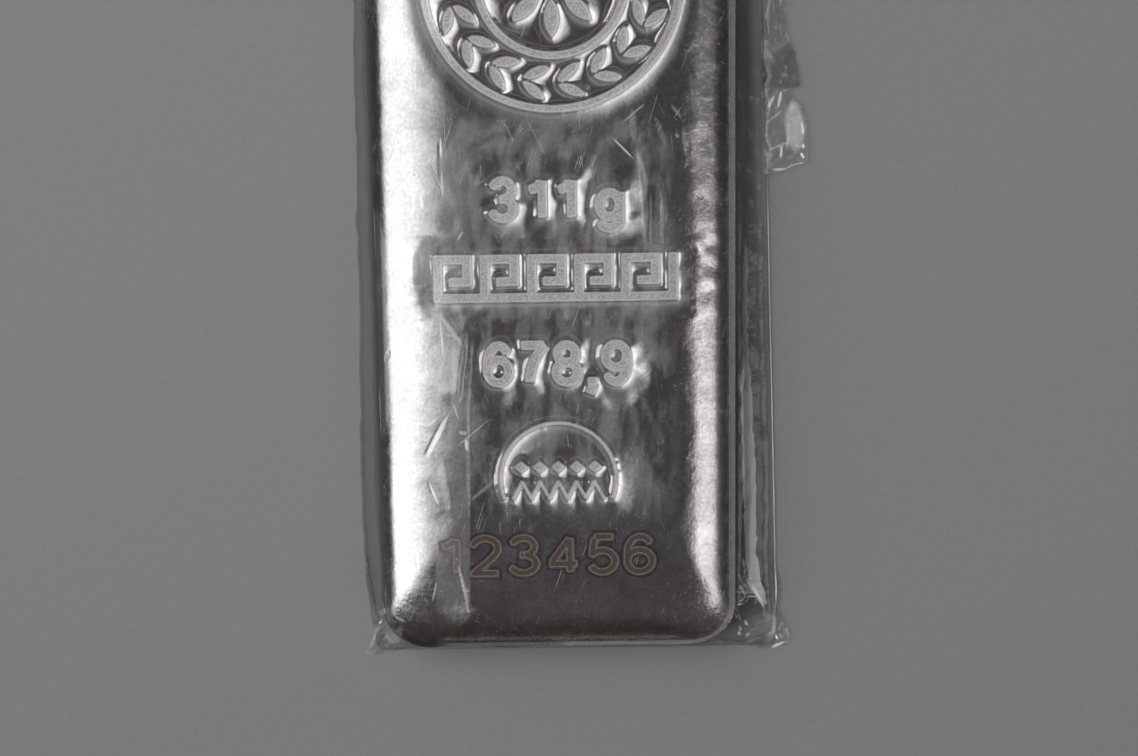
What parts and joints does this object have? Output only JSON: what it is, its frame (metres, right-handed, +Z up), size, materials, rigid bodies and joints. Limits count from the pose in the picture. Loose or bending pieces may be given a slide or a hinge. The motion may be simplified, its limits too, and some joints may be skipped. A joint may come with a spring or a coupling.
{
  "type": "silver bar",
  "caption": "Pressed fine-silver bar with a pillowed edge and pressed-in ornament, sealed in a close sleeve of clear film.",
  "frame": {"origin": "on the flat underside of the sleeve, below the middle of the bar", "axes": "+X across the bar, +Y along it towards the roundel, +Z up out of the marked face"},
  "size_m": [0.052, 0.1046, 0.0091],
  "materials": {
    "fine_silver": "bright satin silver, finely scratched, with matt grey floors in the pressed marks",
    "clear_film": "thin clear heat-sealed film, creased and crumpled at its rim"
  },
  "bodies": {
    "root": {"silver_bar": "fine_silver", "clear_sleeve": "clear_film"}
  },
  "joints": []
}
